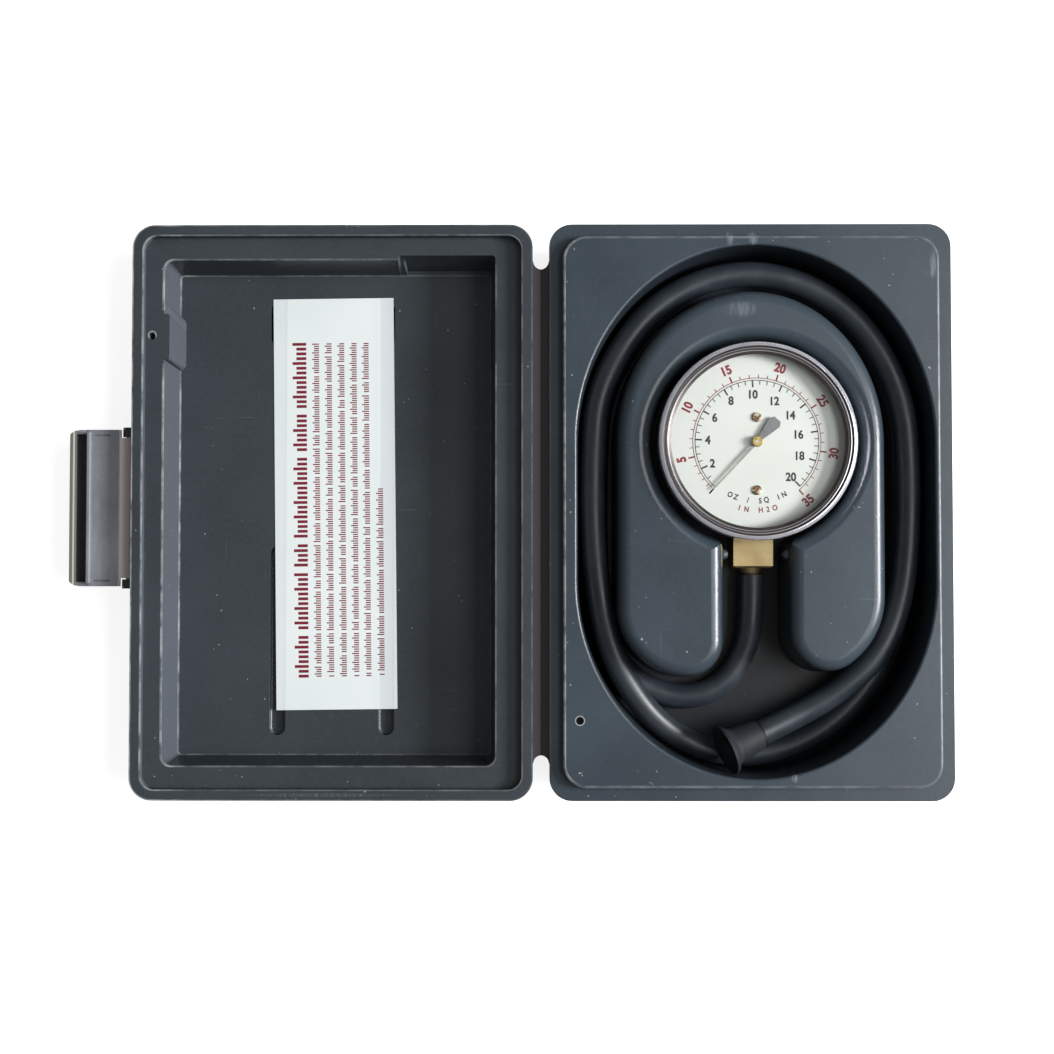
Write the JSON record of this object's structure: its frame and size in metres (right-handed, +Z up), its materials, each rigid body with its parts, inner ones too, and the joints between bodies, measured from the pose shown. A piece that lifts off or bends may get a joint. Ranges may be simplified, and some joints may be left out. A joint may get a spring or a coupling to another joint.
{
  "type": "pressure test gauge in a carrying case",
  "caption": "Low-pressure dial gauge with a coiled rubber test hose, stored in a hinged moulded case with a snap latch, lying open.",
  "frame": {"origin": "centre of the base half's underside, on the surface the open case lies on", "axes": "+Z up, out of the dial; +X away from the hinge, across the base; +Y along the hinge line, from the hose end towards the gauge end"},
  "size_m": [0.3121, 0.202, 0.0365],
  "materials": {
    "case_plastic": "matte",
    "latch_plastic": "satin",
    "pin_steel": "satin",
    "label_film": "satin",
    "gauge_black": "gloss",
    "bezel_chrome": "polished",
    "lens_clear": "polished",
    "dial_white": "satin",
    "pointer_black": "matte",
    "brass_bright": "machined",
    "movement_steel": "satin",
    "hose_rubber": "satin",
    "boot_rubber": "matte"
  },
  "bodies": {
    "base": {"base_shell": "case_plastic", "gauge_case": "gauge_black", "bezel": "bezel_chrome", "lens": "lens_clear", "dial": "dial_white", "dial_screws": "movement_steel", "hairspring": "brass_bright", "capsule": "brass_bright", "movement_bracket": "brass_bright", "front_plate": "brass_bright", "movement_pillars": "brass_bright", "bracket_screws": "movement_steel", "case_screws": "movement_steel", "socket": "brass_bright", "hose": "hose_rubber", "hose_boot": "boot_rubber"},
    "lid": {"lid_shell": "case_plastic", "lid_label": "label_film", "latch_pin": "pin_steel"},
    "latch": {"latch": "latch_plastic"},
    "pointer": {"pointer": "pointer_black", "pointer_hub": "brass_bright", "pinion": "movement_steel"},
    "sector": {"sector_gear": "brass_bright"},
    "rocker": {"rocker": "movement_steel", "adjusting_screw": "brass_bright"},
    "link": {"link": "movement_steel"}
  },
  "joints": [
    {"name": "lid_hinge", "type": "hinge", "parent": "base", "child": "lid", "pos_m": [-0.0734, 0, 0.028], "axis": [0, 1, 0], "range_deg": [0, 180]},
    {"name": "latch_pivot", "type": "hinge", "parent": "lid", "child": "latch", "pos_m": [-0.22, 0, 0.0185], "axis": [0, 1, 0], "range_deg": [0, 90]},
    {"name": "pointer_turn", "type": "hinge", "parent": "base", "child": "pointer", "pos_m": [0.0018, 0.024, 0.03], "axis": [0, 0, -1], "range_deg": [0, 273.7]},
    {"name": "sector_turn", "type": "hinge", "parent": "base", "child": "sector", "pos_m": [-0.0092, 0.024, 0.024], "axis": [0, 0, -1], "range_deg": [-27.4, 0.1]},
    {"name": "rocker_turn", "type": "hinge", "parent": "base", "child": "rocker", "pos_m": [0.0018, 0.033, 0.0169], "axis": [-1, 0, 0], "range_deg": [0, 8.81]},
    {"name": "link_pull", "type": "slide", "parent": "base", "child": "link", "axis": [0, 1, 0], "range_m": [0, 0.0013]}
  ],
  "couplings": [
    {"joint": "pointer_turn", "follows": "rocker_turn", "ratio": 31.05},
    {"joint": "sector_turn", "follows": "rocker_turn", "ratio": -3.105},
    {"joint": "link_pull", "follows": "rocker_turn", "m_per_rad": 0.00829}
  ]
}
